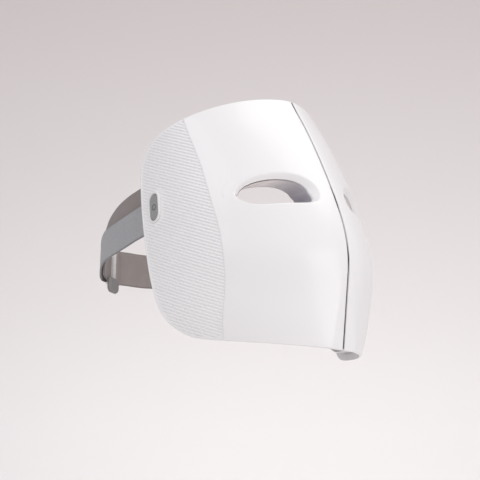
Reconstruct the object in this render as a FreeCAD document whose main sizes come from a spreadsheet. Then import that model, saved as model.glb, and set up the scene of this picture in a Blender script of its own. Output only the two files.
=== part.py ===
"""Rigid light-therapy face mask with a head strap, as an assembly of separate pieces.

Frame, in millimetres: the wearer faces -Y, +Z is up, and -X is the wearer's right.
The origin is the nose-bridge point of the wearer, on the mask's mid-plane.
"""
import FreeCAD, Part
import Sketcher
import math
import os

V = FreeCAD.Vector
ROT = FreeCAD.Rotation

doc = FreeCAD.newDocument("face_mask")

# ---------------------------------------------------------------- driving dimensions
DIMENSIONS = {
    "shell_wall": 2.4,          # outer shell thickness
    "liner_wall": 1.8,          # diffuser liner thickness
    "front_depth": 18.0,        # outer surface to liner, over the face
    "wing_depth": 11.5,         # outer surface to liner, at the wings
    "seam_gap": 1.5,            # slot between the two shell halves
    "board_thick": 1.2,
    "button_long": 23.0,
    "button_wide": 10.8,
    "button_thick": 3.0,
    "rim_long": 28.4,
    "rim_wide": 16.2,
    "rim_thick": 3.4,
    "button_hole_long": 23.8,
    "button_hole_wide": 11.6,
    "rim_proud": 0.7,           # how far the button rim stands out of the panel
    "button_travel": 0.8,
    "mark_dia": 5.4,
    "mark_line": 0.8,
    "main_board_long": 46.0,
    "main_board_wide": 24.0,
    "battery_long": 45.0,
    "battery_wide": 24.0,
    "battery_thick": 3.8,
    "tray_wall": 0.6,
    "usb_wide": 9.0,
    "usb_tall": 3.2,
    "usb_deep": 7.4,
    "buzzer_dia": 9.0,
    "buzzer_tall": 2.0,
    "sensor_long": 8.0,
    "sensor_wide": 5.0,
    "sensor_thick": 1.6,
    "pin_dia": 4.0,
    "pin_clearance": 0.05,
    "pin_long": 6.5,
    "anchor_dia": 15.0,
    "anchor_thick": 1.5,
    "strap_wide": 30.0,
    "strap_thick": 1.8,
    "far_strap_wide": 34.0,
    "ring_bar": 2.4,
    "tab_tall": 22.0,
}
sheet = doc.addObject("Spreadsheet::Sheet", "dimensions")
for row, (alias, value) in enumerate(DIMENSIONS.items(), start=1):
    sheet.set("A%d" % row, alias)
    sheet.set("B%d" % row, str(value))
    sheet.setAlias("B%d" % row, alias)
doc.recompute()


def dim(alias):
    return float(sheet.get(alias))


# ---------------------------------------------------------------- document helpers
parts = []


def keep(feature, name):
    """Name a finished sub-part and list it for export."""
    feature.Label = name
    parts.append(feature)
    return feature


def shape_part(name, shape, placement=None):
    """A sub-part whose free-form shape comes from Part's own functions."""
    feature = doc.addObject("Part::Feature", name)
    feature.Shape = shape
    feature.Placement = placement or FreeCAD.Placement()
    return keep(feature, name)


def box_feature(name, sizes, centre, rotation=None):
    """A Part::Box with its three sizes bound to the sheet, centred on a point."""
    box = doc.addObject("Part::Box", name)
    for side, alias in zip(("Length", "Width", "Height"), sizes):
        box.setExpression(side, "dimensions.%s" % alias)
    half = V(*[dim(alias) / 2 for alias in sizes])
    turn = rotation or ROT()
    box.Placement = FreeCAD.Placement(V(*centre) - turn.multVec(half), turn)
    return box


def cylinder_feature(name, dia, height, base, axis):
    """A Part::Cylinder with its diameter and height bound to the sheet."""
    cyl = doc.addObject("Part::Cylinder", name)
    cyl.setExpression("Radius", "%s / 2" % dia)
    cyl.setExpression("Height", height)
    cyl.Placement = FreeCAD.Placement(V(*base), ROT(V(0, 0, 1), V(*axis)))
    return cyl


def stadium_sketch(body, name, long_alias, wide_alias):
    """An upright slot outline on the body's XY plane, bound to the sheet."""
    sketch = body.newObject("Sketcher::SketchObject", name)
    plane = [f for f in body.Origin.OriginFeatures if f.Role == "XY_Plane"][0]
    sketch.AttachmentSupport = [(plane, "")]
    sketch.MapMode = "FlatFace"
    radius = dim(wide_alias) / 2
    run = dim(long_alias) / 2 - radius
    top = Part.Circle(V(0, run, 0), V(0, 0, 1), radius)
    low = Part.Circle(V(0, -run, 0), V(0, 0, 1), radius)
    sketch.addGeometry(Part.ArcOfCircle(top, 0, math.pi), False)
    sketch.addGeometry(Part.LineSegment(V(-radius, run, 0), V(-radius, -run, 0)), False)
    sketch.addGeometry(Part.ArcOfCircle(low, math.pi, 2 * math.pi), False)
    sketch.addGeometry(Part.LineSegment(V(radius, -run, 0), V(radius, run, 0)), False)
    for first, second, end in ((0, 1, 2), (1, 2, 2), (2, 3, 2), (3, 0, 2)):
        start = 1
        sketch.addConstraint(Sketcher.Constraint("Tangent", first, end, second, start))
    sketch.addConstraint(Sketcher.Constraint("PointOnObject", 0, 3, -2))
    sketch.addConstraint(Sketcher.Constraint("Symmetric", 0, 3, 2, 3, -1, 1))
    width = sketch.addConstraint(Sketcher.Constraint("Radius", 0, radius))
    spread = sketch.addConstraint(Sketcher.Constraint("DistanceY", 2, 3, 0, 3, 2 * run))
    sketch.setExpression("Constraints[%d]" % width, "dimensions.%s / 2" % wide_alias)
    sketch.setExpression(
        "Constraints[%d]" % spread,
        "dimensions.%s - dimensions.%s" % (long_alias, wide_alias),
    )
    return sketch


def stadium_body(name, long_alias, wide_alias, thick_alias, placement, hole=None):
    """A padded slot outline, with an optional slot-shaped hole through it."""
    body = doc.addObject("PartDesign::Body", name)
    outline = stadium_sketch(body, name + "_outline", long_alias, wide_alias)
    pad = body.newObject("PartDesign::Pad", name + "_pad")
    pad.Profile = outline
    pad.setExpression("Length", "dimensions.%s" % thick_alias)
    if hole:
        inner = stadium_sketch(body, name + "_hole", *hole)
        pocket = body.newObject("PartDesign::Pocket", name + "_pocket")
        pocket.Profile = inner
        pocket.Type = "ThroughAll"
        pocket.Midplane = True
    body.Placement = placement
    return body


# ---------------------------------------------------------------- the outer form
# Each row is one level of the face form: height, setback of the centre line, length of
# the flat start of the section, half-width, and setbacks of the cheek's two shoulders.
LEVELS = (
    (-136.0, -37.0, 11.8, 76.0, 18.1, 50.3),
    (-95.0, -37.9, 15.7, 99.6, 18.1, 50.3),
    (-55.0, -39.9, 25.2, 98.6, 18.1, 50.3),
    (-30.0, -33.0, 25.2, 98.6, 20.1, 47.5),
    (-5.0, -25.9, 25.4, 98.2, 21.7, 45.6),
    (25.0, -9.0, 27.0, 95.4, 21.7, 45.6),
    (65.0, 12.0, 25.5, 89.6, 21.7, 45.6),
    (106.0, 36.2, 18.4, 82.0, 21.7, 45.6),
)
CHEEK_RUN = 24.5        # from the end of the flat start to the cheek's first shoulder
LOFT_LEVELS = 19
BACK = 132.0            # where the sections stop, behind every trimmed edge
NOSE_Z = -56.0
CHIN_Z = -130.0
NOSE_Y = -39.8
CHIN_Y = -32.7          # the chin facet runs straight from the nose tip to here


def slope_at(column, i):
    """Slope of one column at a row: the harmonic mean of its two chords, 0 at a turn."""
    if i == 0 or i == len(LEVELS) - 1:
        i = min(max(i, 1), len(LEVELS) - 1)
        low, high = LEVELS[i - 1], LEVELS[i]
        return (high[column] - low[column]) / (high[0] - low[0])
    chords = []
    for low, high in ((LEVELS[i - 1], LEVELS[i]), (LEVELS[i], LEVELS[i + 1])):
        chords.append((high[column] - low[column]) / (high[0] - low[0]))
    if chords[0] * chords[1] <= 0:
        return 0.0
    return 2 * chords[0] * chords[1] / (chords[0] + chords[1])


def smooth(column, z):
    """One column of LEVELS at a height, by a cubic that never overshoots its rows."""
    i = 0
    while i < len(LEVELS) - 2 and z > LEVELS[i + 1][0]:
        i += 1
    low, high = LEVELS[i], LEVELS[i + 1]
    span = high[0] - low[0]
    t = (z - low[0]) / span
    rise = high[column] - low[column]
    start = slope_at(column, i) * span
    end = slope_at(column, i + 1) * span
    return low[column] + t * (start + t * (3 * rise - 2 * start - end + t * (start + end - 2 * rise)))


def level(z):
    return (z,) + tuple(smooth(column, z) for column in range(1, 6))


def half_poles(row, front, side):
    """Six Bezier poles of one half-section, moved in by front and side depths."""
    z, setback, flat, half, near, far = row
    lean = 0.56 if z > -20 else 0.25
    shift = front * math.sqrt(1 + lean * lean)
    shrink = front / 60.0
    start = setback + shift
    middle = (front + side) / 2
    wall = half - side
    shoulder = setback + far + 0.35 * middle
    return [
        V(0, start, z),
        V(flat * (1 - shrink), start, z),
        V((flat + CHEEK_RUN) * (1 - 0.7 * shrink), start + near - 0.1 * front, z),
        V(wall, shoulder, z),
        V(wall, (shoulder + BACK) / 2, z),
        V(wall, BACK, z),
    ]


def section(row, front, side):
    """One closed level: two mirrored Bezier halves and a straight back."""
    right = half_poles(row, front, side)
    left = [V(-p.x, p.y, p.z) for p in right]
    curves = []
    for poles in (right, left):
        curve = Part.BezierCurve()
        curve.setPoles(poles)
        curves.append(curve.toShape())
    back = Part.makeLine(left[-1], right[-1])
    return Part.Wire([curves[0], back, curves[1]])


def prism_x(points, closed_line, reach=125.0):
    """Extrude a side-view outline (y, z) right through the mask along X."""
    spline = Part.BSplineCurve()
    spline.interpolate([V(-reach, y, z) for y, z in points])
    edges = [spline.toShape()]
    path = [points[-1]] + list(closed_line) + [points[0]]
    for (y0, z0), (y1, z1) in zip(path[:-1], path[1:]):
        edges.append(Part.makeLine(V(-reach, y0, z0), V(-reach, y1, z1)))
    face = Part.Face(Part.Wire(edges))
    return face.extrude(V(2 * reach, 0, 0))


def facet_wedge(depth):
    """All that lies in front of the flat chin facet, for a surface that deep inside."""
    slope = (CHIN_Y - NOSE_Y) / (NOSE_Z - CHIN_Z)
    low_z = -150.0
    low_y = NOSE_Y + slope * (NOSE_Z - low_z) + depth
    # Above the nose tip the wedge leans forward, clear of the form.
    corners = [
        V(-60, NOSE_Y + depth, NOSE_Z), V(-60, low_y, low_z), V(-60, -90, low_z),
        V(-60, -90, NOSE_Z + 30), V(-60, NOSE_Y + depth - 3, NOSE_Z + 30),
    ]
    return Part.Face(Part.makePolygon(corners + corners[:1])).extrude(V(120, 0, 0))


forms = {}


def form(front, side):
    """The solid face form whose surface lies front and side deep inside the outer one."""
    key = (front, side)
    if key not in forms:
        low, high = LEVELS[0][0], LEVELS[-1][0]
        step = (high - low) / (LOFT_LEVELS - 1)
        rows = [level(low + i * step) for i in range(LOFT_LEVELS)]
        loft = Part.makeLoft([section(row, front, side) for row in rows], True, False)
        forms[key] = loft.cut(facet_wedge(front))
    return forms[key]


def layer(outer, inner):
    return form(*outer).cut(form(*inner))


def surface_point(z, share, depth):
    """Point and outward direction on a half-section, share 0 at the centre to 1 at the back."""
    curve = Part.BezierCurve()
    curve.setPoles(half_poles(level(z), *depth))
    along = curve.tangent(share)[0]
    outward = V(along.y, -along.x, 0)
    return curve.value(share), outward.normalize()


def inset(points, amount, closed=False):
    """Move an outline's points inwards (to the left of its direction) by an amount."""
    moved = []
    count = len(points)
    for i, (a, b) in enumerate(points):
        before = points[i - 1] if closed or i > 0 else points[0]
        after = points[(i + 1) % count] if closed or i < count - 1 else points[-1]
        da, db = after[0] - before[0], after[1] - before[1]
        size = math.hypot(da, db)
        moved.append((a - db / size * amount, b + da / size * amount))
    return moved


# Side view of the rim, from the chin along the jaw, up the back edge and over the brow.
RIM = (
    (-45.0, -131.0), (5.0, -124.6), (42.0, -120.0), (62.0, -115.0), (76.5, -104.0),
    (88.0, -87.0), (97.5, -67.0), (106.5, -38.0), (114.5, -5.0), (121.5, 22.0),
    (124.5, 42.0), (119.0, 59.5), (104.0, 70.5), (84.0, 78.5), (62.0, 88.5),
    (44.0, 97.0), (30.0, 100.0), (0.0, 101.0),
)
PANEL_EDGE = (
    (92.0, 92.0), (75.0, 64.5), (56.0, 33.0), (36.5, -7.5), (24.5, -45.0),
    (22.0, -75.0), (26.0, -102.0), (36.0, -134.0),
)
EYE = (
    (71.2, -1.5), (67.5, 7.2), (56.5, 15.0), (38.6, 18.9), (22.8, 15.6), (14.6, 5.0),
    (17.0, -5.6), (28.0, -9.3), (48.0, -11.1), (64.5, -10.4),
)
WALL_RISE = (4.5, 4.5, 4.5, 3.5, 1.5)   # how far the closing wall stands above RIM's first points


def rim_prism(amount):
    return prism_x(inset(RIM, amount), ((-80, 101 - amount), (-80, -131 + amount)))


def wall_prism(amount):
    """The rim's outline for the wall and liner, which stand back from it under the chin."""
    raised = list(RIM)
    for i, rise in enumerate(WALL_RISE):
        raised[i] = (RIM[i][0], RIM[i][1] + rise)
    return prism_x(inset(raised, amount), ((-80, 101 - amount), (-80, raised[0][1] + amount)))


def panel_prism(gap):
    """Everything behind the front edge of the ribbed side panels."""
    edge = [(y + gap, z) for y, z in PANEL_EDGE]
    return prism_x(edge, ((200, -134), (200, 92)))


def eye_prism(side, amount):
    """The eye opening, moved in by an amount, right through the mask along Y."""
    points = inset(EYE, amount, closed=True)
    spline = Part.BSplineCurve()
    spline.interpolate([V(side * x, -80, z) for x, z in points], True)
    return Part.Face(Part.Wire([spline.toShape()])).extrude(V(0, 190, 0))


def slab(low, high):
    """An axis-aligned block between two corners."""
    size = V(*high) - V(*low)
    return Part.makeBox(size.x, size.y, size.z, V(*low))


def half_space(side, gap):
    if side > 0:
        return slab((gap, -100, -160), (130, 200, 130))
    return slab((-130, -100, -160), (-gap, 200, 130))


def both_eyes(shape, amount):
    return shape.cut(eye_prism(1, amount)).cut(eye_prism(-1, amount))


SIDES = (("right", -1), ("left", 1))
SHELL = dim("shell_wall")
LINER_TOP = (dim("front_depth"), dim("wing_depth"))
LINER_LOW = (dim("front_depth") + dim("liner_wall"), dim("wing_depth") + dim("liner_wall"))

USB_FRAME = FreeCAD.Placement(V(-68.4, 37.0, -115.2), ROT(V(0, 0, 1), 117.5))

PIVOT = V(0, 104.0, 18.0)        # both strap anchors turn about this line along X

# ---------------------------------------------------------------- power button placement
BUTTON = V(-97.6, 96.8, -1.5)       # centre of the button on the right wing
BUTTON_LEAN = 8.0                   # degrees, along the wing's back edge


def button_frame(out):
    """Local Z points out of the right wing, local Y runs up along its back edge."""
    turn = ROT(V(0, -1, 0), V(0, 0, 1), V(-1, 0, 0), "ZXY")
    lean = ROT(V(1, 0, 0), -BUTTON_LEAN)
    return FreeCAD.Placement(BUTTON + V(-out, 0, 0), lean.multiply(turn))


def button_tool(extra):
    """A slot-shaped block for cutting the button's opening."""
    radius = dim("rim_wide") / 2 + extra
    run = (dim("rim_long") - dim("rim_wide")) / 2
    tool = slab((-radius, -run, -14), (radius, run, 14))
    for end in (-run, run):
        tool = tool.fuse(Part.makeCylinder(radius, 28, V(0, end, -14)))
    tool.Placement = button_frame(0)
    return tool


# ---------------------------------------------------------------- shells and skins
def make_shells():
    band = layer((0, 0), (SHELL, SHELL)).common(rim_prism(0))
    front = both_eyes(band.cut(panel_prism(0)), 2.4)
    panels = layer((0, 0), (SHELL - 0.2, SHELL - 0.2)).common(rim_prism(0))
    panels = panels.common(panel_prism(0.25))
    for word, side in SIDES:
        half = half_space(side, dim("seam_gap") / 2)
        shape_part("shell_" + word, front.common(half))
        panel = panels.common(half)
        if side < 0:
            panel = panel.cut(button_tool(0.05))
        shape_part("side_panel_" + word, panel)
    strip = layer((0.9, 0.9), (SHELL, SHELL)).common(rim_prism(0.5))
    half_gap = dim("seam_gap") / 2
    shape_part("seam_gasket", strip.common(slab((-half_gap, -100, -160), (half_gap, 90, 130))))


def make_eyes():
    bezels = layer((0.7, 0.7), (7.5, 7.0))
    cups = layer((5.5, 5.5), (LINER_LOW[0] + 0.8, LINER_LOW[1] + 0.8))
    for word, side in SIDES:
        ring = bezels.common(eye_prism(side, 2.4)).cut(eye_prism(side, 5.0))
        shape_part("eye_bezel_" + word, ring)
        cup = cups.common(eye_prism(side, 5.0)).cut(eye_prism(side, 6.6))
        shape_part("eye_cup_" + word, cup)


def make_liner():
    skin = layer(LINER_TOP, LINER_LOW).common(wall_prism(2.2))
    skin = both_eyes(skin, 5.0)
    for side in (-1, 1):
        pin_hole = Part.makeCylinder(dim("pin_dia") / 2, 30, V(side * 70, *PIVOT[1:]), V(side, 0, 0))
        skin = skin.cut(pin_hole)
    shape_part("face_liner", skin)
    wall = form(SHELL, SHELL).cut(form(*LINER_TOP))
    wall = wall.common(wall_prism(1.0)).cut(wall_prism(3.2))
    port = slab((-0.1, -0.1, -4), (dim("usb_wide") + 0.1, dim("usb_tall") + 0.1, dim("usb_deep")))
    port.Placement = USB_FRAME
    wall = wall.cut(port)
    shape_part("rim_frame", wall)


# ---------------------------------------------------------------- light boards
BOARD_TOP = (14.0, 8.0)
BOARD_LOW = (14.0 + dim("board_thick"), 8.0 + dim("board_thick"))


def make_led_boards():
    board = both_eyes(layer(BOARD_TOP, BOARD_LOW).common(rim_prism(9.0)), 0.5)
    zones = {
        "led_board_forehead": slab((-62, -60, 24), (62, 80, 92)),
        "led_board_cheek_right": slab((-74, -60, -107), (-8, 60, -20)),
        "led_board_cheek_left": slab((8, -60, -107), (74, 60, -20)),
    }
    for name, zone in zones.items():
        shape_part(name, board.common(zone))


def led_grid(heights, shares, signs):
    """Small lamp blocks standing on a light board's inner face."""
    lamps = []
    for z in heights:
        for share in shares:
            for sign in signs:
                point, outward = surface_point(z, share, BOARD_LOW)
                lamp = slab((-1.3, -1.3, -0.9), (1.3, 1.3, 0.0))
                point = V(sign * point.x, point.y, point.z)
                outward = V(sign * outward.x, outward.y, 0)
                turn = ROT(V(0, 0, 1), outward)
                lamp.Placement = FreeCAD.Placement(point - outward * 1.1, turn)
                lamps.append(lamp)
    return Part.makeCompound(lamps)


def make_leds():
    shape_part("leds_forehead", led_grid((34, 48, 62, 76), (0.08, 0.19, 0.3, 0.41), (1, -1)))
    for word, side in SIDES:
        lamps = led_grid((-104, -88, -72, -56, -40), (0.16, 0.27, 0.38, 0.48), (side,))
        shape_part("leds_cheek_" + word, lamps)


# ---------------------------------------------------------------- electronics
BOARD_X = 89.9          # mid-plane of the control board and battery, from the centre
BAY_Y = 84.0
BAY_Z = -50.0
TILT = 16.0             # the bays lean with the wing's back edge


def bay_turn():
    return ROT(V(1, 0, 0), -TILT)


def make_electronics():
    board = box_feature(
        "main_board",
        ("board_thick", "main_board_wide", "main_board_long"),
        (-BOARD_X, BAY_Y, BAY_Z),
        bay_turn(),
    )
    keep(board, "main_board")
    chips = []
    for size, y, z in ((9.0, -6.0, 14.0), (6.0, 6.5, 2.0), (4.0, -7.0, -8.0), (5.0, 7.0, -18.0)):
        chips.append(slab((0, y - size / 2, z - size / 2), (1.3, y + size / 2, z + size / 2)))
    inner_face = V(-BOARD_X + dim("board_thick") / 2, BAY_Y, BAY_Z)
    shape_part("board_chips", Part.makeCompound(chips), FreeCAD.Placement(inner_face, bay_turn()))
    block = box_feature(
        "battery_block",
        ("battery_thick", "battery_wide", "battery_long"),
        (BOARD_X, BAY_Y, BAY_Z),
        bay_turn(),
    )
    round_off = doc.addObject("Part::Fillet", "battery_rounded")
    round_off.Base = block
    doc.recompute()
    edges = []
    for index, edge in enumerate(block.Shape.Edges, start=1):
        if abs(edge.Length - dim("battery_long")) < 0.01:
            edges.append((index, 1.6, 1.6))
    round_off.Edges = edges
    keep(round_off, "battery")
    wall = dim("tray_wall")
    half_x = dim("battery_thick") / 2 + 0.1
    half_y = dim("battery_wide") / 2 + 0.1
    half_z = dim("battery_long") / 2 + 0.1
    block = slab((-half_x - wall, -half_y - wall, -half_z - wall), (0, half_y + wall, half_z + wall))
    tray = block.cut(slab((-half_x, -half_y, -half_z), (half_x, half_y, half_z)))
    place = FreeCAD.Placement(V(BOARD_X, BAY_Y, BAY_Z), bay_turn())
    shape_part("battery_tray", tray, place)
    socket = doc.addObject("Part::Box", "usb_block")
    socket.setExpression("Length", "dimensions.usb_wide")
    socket.setExpression("Width", "dimensions.usb_tall")
    socket.setExpression("Height", "dimensions.usb_deep")
    socket.Placement = USB_FRAME
    wide, tall, deep = dim("usb_wide"), dim("usb_tall"), dim("usb_deep")
    lip = 0.35
    hollow = slab((lip, lip, -1), (wide - lip, tall - lip, deep - 1.2))
    tongue = slab((1.2, tall / 2 - 0.35, 0.8), (wide - 1.2, tall / 2 + 0.35, deep))
    cutter = doc.addObject("Part::Feature", "usb_hollow")
    cutter.Shape = hollow.cut(tongue)
    cutter.Placement = USB_FRAME
    opened = doc.addObject("Part::Cut", "usb_opened")
    opened.Base = socket
    opened.Tool = cutter
    keep(opened, "usb_socket")
    buzzer = cylinder_feature(
        "buzzer", "dimensions.buzzer_dia", "dimensions.buzzer_tall", (-85.2, 72, -86), (-1, 0, 0)
    )
    keep(buzzer, "buzzer")
    sensor = box_feature(
        "wear_sensor", ("sensor_long", "sensor_thick", "sensor_wide"), (0, 12.6, 17.0)
    )
    keep(sensor, "wear_sensor")


# ---------------------------------------------------------------- power button
def make_button():
    proud = dim("rim_proud")
    depth = dim("rim_thick") - proud
    rim = stadium_body(
        "button_rim", "rim_long", "rim_wide", "rim_thick", button_frame(-depth),
        hole=("button_hole_long", "button_hole_wide"),
    )
    keep(rim, "button_rim")
    cap_in = dim("button_thick") - 0.2
    cap = stadium_body(
        "power_button", "button_long", "button_wide", "button_thick", button_frame(-cap_in)
    )
    keep(cap, "power_button")
    mark = Part.makeCylinder(dim("mark_dia") / 2, 0.25)
    mark = mark.cut(Part.makeCylinder(dim("mark_dia") / 2 - dim("mark_line"), 0.25))
    shape_part("button_mark", mark, button_frame(0.2))
    stem_frame = button_frame(-cap_in - 0.9)
    shape_part("button_stem", Part.makeCylinder(1.6, 0.9), stem_frame)
    gap = dim("button_travel") + 0.1
    switch_top = cap_in + 0.9 + gap
    plunger = Part.makeCylinder(1.7, 0.5)
    body = slab((-3, -3, -2.0), (3, 3, 0))
    switch = body.fuse(plunger)
    switch_frame = button_frame(-switch_top - 0.5)
    shape_part("tact_switch", switch.removeSplitter(), switch_frame)
    plate = slab((-6, -10, -3.0), (6, 10, -2.0))
    shape_part("button_board", plate, switch_frame)


# ---------------------------------------------------------------- comfort pads
def make_pads():
    pad_low = (LINER_LOW[0] + 4.0, LINER_LOW[1] + 3.0)
    soft = layer(LINER_LOW, pad_low).common(rim_prism(6.0))
    shape_part("forehead_pad", soft.common(slab((-34, -40, 50), (34, 120, 76))))
    shape_part("nose_pad", soft.common(slab((-9, -60, -12), (9, 60, 14))))
    for word, side in SIDES:
        low, high = sorted((side * 60, side * 110))
        zone = slab((low, 62, 0), (high, 92, 34))
        shape_part("temple_pad_" + word, soft.common(zone))


# ---------------------------------------------------------------- head strap
LOOP_Y = 98.0
LOOP_HALF = 77.9                    # half-width of the strap loop at the wings
LOOP_DEEP = 175.0                   # how far the loop reaches behind LOOP_Y
LOOP_FULLNESS = 2.5                 # 2 is an ellipse, more is squarer
BAND_STEP = 3.0                     # degrees between a strap's cross-sections


def loop_plan(angle):
    """Plan point on the strap loop; angle 0 at the right wing, 180 at the left."""
    turn = math.radians(angle)
    power = 2 / LOOP_FULLNESS
    across = math.copysign(abs(math.cos(turn)) ** power, math.cos(turn))
    return V(-LOOP_HALF * across, LOOP_Y + LOOP_DEEP * abs(math.sin(turn)) ** power, 0)


def loop_point(angle, out=0.0):
    """A plan point moved outwards from the loop, and the outward direction there."""
    ahead, behind = loop_plan(min(angle + 0.5, 180)), loop_plan(max(angle - 0.5, 0))
    run = ahead - behind
    normal = V(-run.y, run.x, 0).normalize()
    return loop_plan(angle) + normal * out, normal


def dense(stations):
    """Fill in a strap's stations at every BAND_STEP degrees between its ends."""
    filled = [stations[0]]
    for before, after in zip(stations[:-1], stations[1:]):
        angle = (math.floor(before[0] / BAND_STEP) + 1) * BAND_STEP
        while angle < after[0] - 0.2:
            part = (angle - before[0]) / (after[0] - before[0])
            filled.append((angle, *(b + part * (a - b) for b, a in zip(before[1:], after[1:]))))
            angle += BAND_STEP
        if after is stations[-1]:
            filled.append(after)
    return filled


def band(stations, wide, thick):
    """A flat strap along the loop; each station is (angle, outward offset, centre height)."""
    wires = []
    for angle, out, z in dense(stations):
        inner, normal = loop_point(angle, out - thick / 2)
        outer = inner + normal * thick
        corners = [
            V(inner.x, inner.y, z - wide / 2), V(outer.x, outer.y, z - wide / 2),
            V(outer.x, outer.y, z + wide / 2), V(inner.x, inner.y, z + wide / 2),
        ]
        wires.append(Part.makePolygon(corners + corners[:1]))
    return Part.makeLoft(wires, True, True)


RING_ANGLE = 72.0       # where the near strap folds over the ring's first bar
RING_SPAN = 6.0         # degrees of the loop between the ring's two bars
PEEL_ANGLE = 67.5       # where the folded tail peels away
RING_Z = -10.0
FOLD_Z = -11.5
BAR_OUT = 2.9           # the ring lies this far outside the main strap's middle
TAIL_OUT = 2.4          # the folded tail lies this far outside the main strap


def make_strap():
    wide, thick = dim("strap_wide"), dim("strap_thick")
    main = band(
        ((0, 0, 18.5), (8, 0, 17.2), (13, 0, 16.2), (19, 0, 14.4), (27, 0, 11.5), (35, 0, 6.6),
         (41, 0, 1.2), (46, 0, -4), (53, 0, -9), (62, 0, -11), (RING_ANGLE, 0, FOLD_Z)),
        wide, thick,
    )
    centre, normal = loop_point(RING_ANGLE, BAR_OUT)
    base = V(centre.x, centre.y, FOLD_Z - wide / 2)
    fold = Part.makeCylinder(BAR_OUT + thick / 2, wide, base)
    fold = fold.cut(Part.makeCylinder(BAR_OUT - thick / 2, wide, base))
    tangent = V(normal.y, -normal.x, 0)
    keep_side = slab((0, -20, -60), (20, 20, 60))
    keep_side.Placement = FreeCAD.Placement(centre, ROT(V(1, 0, 0), tangent))
    fold = fold.common(keep_side)
    stub = band(
        ((PEEL_ANGLE + 0.8, 2 * BAR_OUT - 0.3, FOLD_Z), (RING_ANGLE, 2 * BAR_OUT, FOLD_Z)),
        wide, thick,
    )
    shape_part("strap_right", main.fuse([fold, stub]).removeSplitter())
    tail = band(
        ((6.5, TAIL_OUT, -0.5), (11, TAIL_OUT, -1.6), (19, TAIL_OUT, -4.4), (26, TAIL_OUT, -5.6),
         (34, TAIL_OUT, -5.8), (42, TAIL_OUT, -5.2), (50, TAIL_OUT, -7.5), (56, TAIL_OUT + 0.3, -10),
         (62, 3.9, FOLD_Z), (PEEL_ANGLE, 2 * BAR_OUT - 0.5, FOLD_Z)),
        wide, thick,
    )
    shape_part("strap_tail", tail)
    far = dim("far_strap_wide")
    bar_angle = RING_ANGLE + RING_SPAN
    left = band(
        ((bar_angle + 1.6, BAR_OUT, RING_Z), (87, 2.2, -8.6), (98, 1.2, -8.4), (113, 0.5, -6.5),
         (130, 0, -1), (148, 0, 7), (164, 0, 14), (174, 0, 17.4), (180, 0, 18.5)),
        far, thick,
    )
    centre, normal = loop_point(bar_angle, BAR_OUT)
    base = V(centre.x, centre.y, RING_Z - far / 2)
    hollow = Part.makeCylinder(BAR_OUT - thick / 2, far, base)
    loop = Part.makeCylinder(BAR_OUT + thick / 2, far, base).cut(hollow)
    shape_part("strap_left", left.cut(hollow).fuse(loop).removeSplitter())
    tab_wide = dim("tab_tall")
    tab = band(((69, -2.0, -26), (75, -2.0, -26), (80, -2.0, -26)), tab_wide, thick)
    shape_part("strap_tab", tab)


def make_ring():
    """A flat wire ring: an outer plate frame round the two strap bars."""
    bar = dim("ring_bar")
    first, normal = loop_point(RING_ANGLE, BAR_OUT)
    last, normal = loop_point(RING_ANGLE + RING_SPAN, BAR_OUT)
    run = last - first
    tall = dim("far_strap_wide") + 1.6
    frame = slab((-bar / 2, -bar / 2, -tall / 2 - bar), (run.Length + bar / 2, bar / 2, tall / 2 + bar))
    hole = slab((bar / 2, -bar, -tall / 2), (run.Length - bar / 2, bar, tall / 2))
    ring = frame.cut(hole)
    corners = [e for e in ring.Edges if abs(e.Length - bar) < 0.01]
    outer = []
    for edge in corners:
        middle = edge.CenterOfMass
        if abs(abs(middle.z) - (tall / 2 + bar)) < 0.01:
            outer.append(edge)
    ring = ring.makeFillet(bar * 0.9, outer)
    place = FreeCAD.Placement(V(first.x, first.y, RING_Z), ROT(V(1, 0, 0), run))
    shape_part("strap_ring", ring, place)


def make_anchors():
    """Round anchor plates that swivel on pins through the wings' inner skin."""
    outer_face = LOOP_HALF + dim("strap_thick") / 2
    thick = dim("anchor_thick")
    for word, side in SIDES:
        start = V(side * (outer_face + dim("pin_long")), PIVOT.y, PIVOT.z)
        pin = cylinder_feature(
            "anchor_pin_" + word,
            "dimensions.pin_dia", "dimensions.pin_long",
            (start.x, start.y, start.z), (-side, 0, 0),
        )
        keep(pin, "anchor_pin_" + word)
        bore = dim("pin_dia") / 2 + dim("pin_clearance")
        centre = V(side * (outer_face + thick), PIVOT.y, PIVOT.z)
        plate = Part.makeCylinder(dim("anchor_dia") / 2, thick, centre, V(-side, 0, 0))
        plate = plate.cut(Part.makeCylinder(bore, thick, centre, V(-side, 0, 0)))
        shape_part("strap_anchor_" + word, plate)


def main():
    make_shells()
    make_eyes()
    make_liner()
    make_led_boards()
    make_leds()
    make_electronics()
    make_button()
    make_pads()
    make_strap()
    make_ring()
    make_anchors()


main()
doc.recompute()

# ---------------------------------------------------------------- check and write
for feature in doc.Objects:
    if "Invalid" in feature.State or "Error" in feature.State:
        raise RuntimeError("failed feature: %s %s" % (feature.Label, feature.State))
os.makedirs("parts", exist_ok=True)
for feature in parts:
    shape = feature.Shape
    if shape.isNull() or not shape.isValid() or not shape.Solids:
        raise RuntimeError("bad shape: %s" % feature.Label)
    shape.exportStep("parts/%s.step" % feature.Label)
    print("%-24s solids %2d  volume %9.1f" % (feature.Label, len(shape.Solids), shape.Volume))
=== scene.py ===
"""Looks of the rigid light-therapy face mask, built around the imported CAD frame.

Lengths in this file are millimetres until `piece` turns them into metres. The wearer
faces -Y, +Z is up and -X is the wearer's right, as in the CAD frame.
"""
from math import comb, cos, exp, pi, radians, sin, sqrt

import bmesh
import bpy
import numpy as np
from mathutils import Matrix, Vector


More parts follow.
